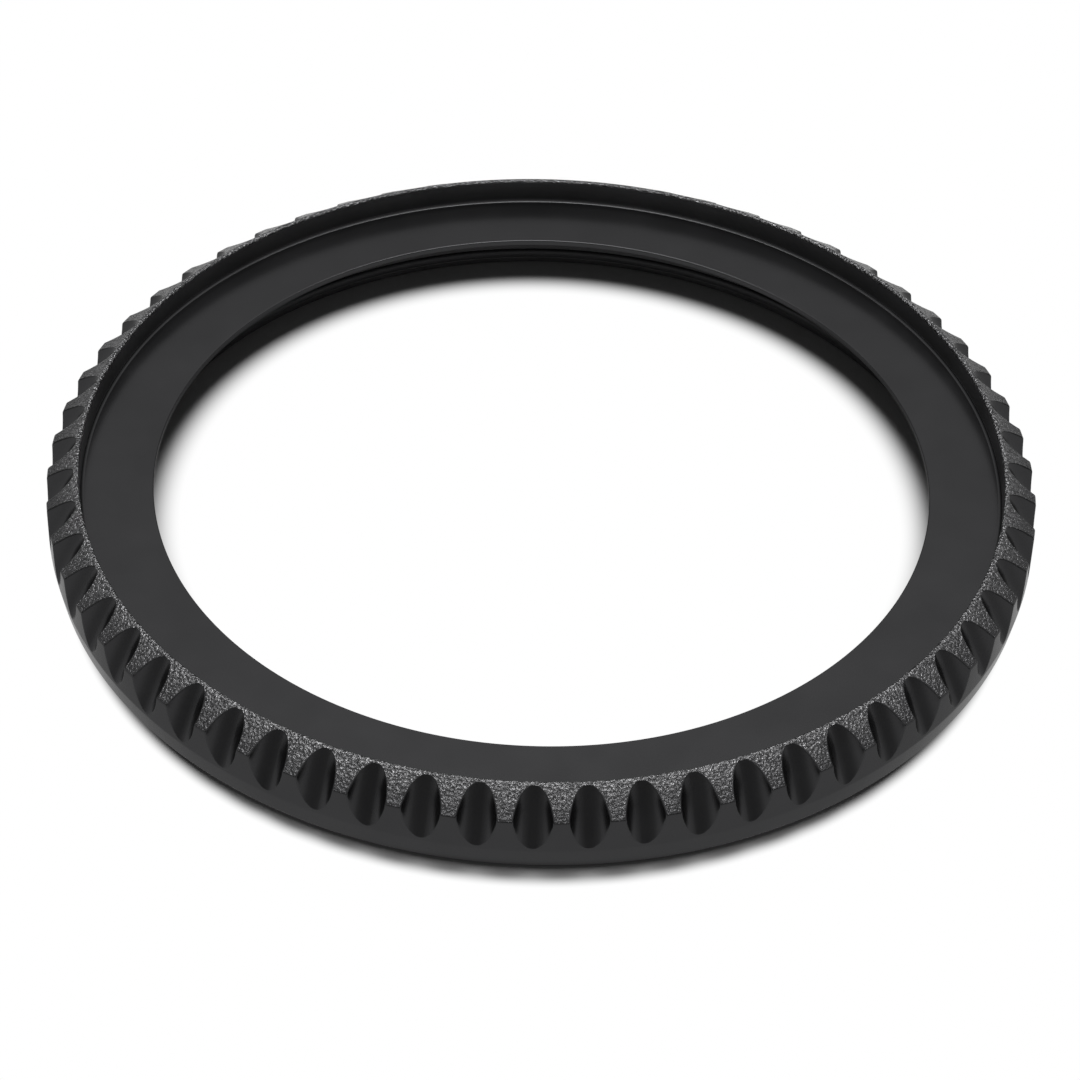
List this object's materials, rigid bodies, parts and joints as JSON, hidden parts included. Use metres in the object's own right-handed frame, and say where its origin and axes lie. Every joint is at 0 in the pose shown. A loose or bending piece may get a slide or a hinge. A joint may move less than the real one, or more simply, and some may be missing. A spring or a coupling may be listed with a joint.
{
  "type": "rotating watch bezel",
  "caption": "Rotating dive-watch bezel: black steel ring with a scalloped grip edge, an open seat for a flat insert, a retaining gasket and a click spring that lets it turn one way.",
  "frame": {"origin": "on the turning axis, in the plane of the ring's underside", "axes": "+Z along the turning axis towards the wearer's eye; -Y towards the picture's camera, with a scallop centred on it"},
  "size_m": [0.0408, 0.0408, 0.0033],
  "materials": {
    "black_steel": "satin, bead-blasted stainless steel with a black vapour-deposited coating",
    "nylon": "moulded, semi-matte",
    "spring_steel": "rolled strip, punched and tumbled"
  },
  "bodies": {
    "click_side": {"click_spring": "spring_steel"},
    "bezel": {"bezel_ring": "black_steel", "bezel_gasket": "nylon"}
  },
  "joints": [
    {"name": "bezel_turn", "type": "hinge", "parent": "click_side", "child": "bezel", "pos_m": [0, 0, 0.0009], "axis": [0, 0, 1], "continuous": true}
  ]
}
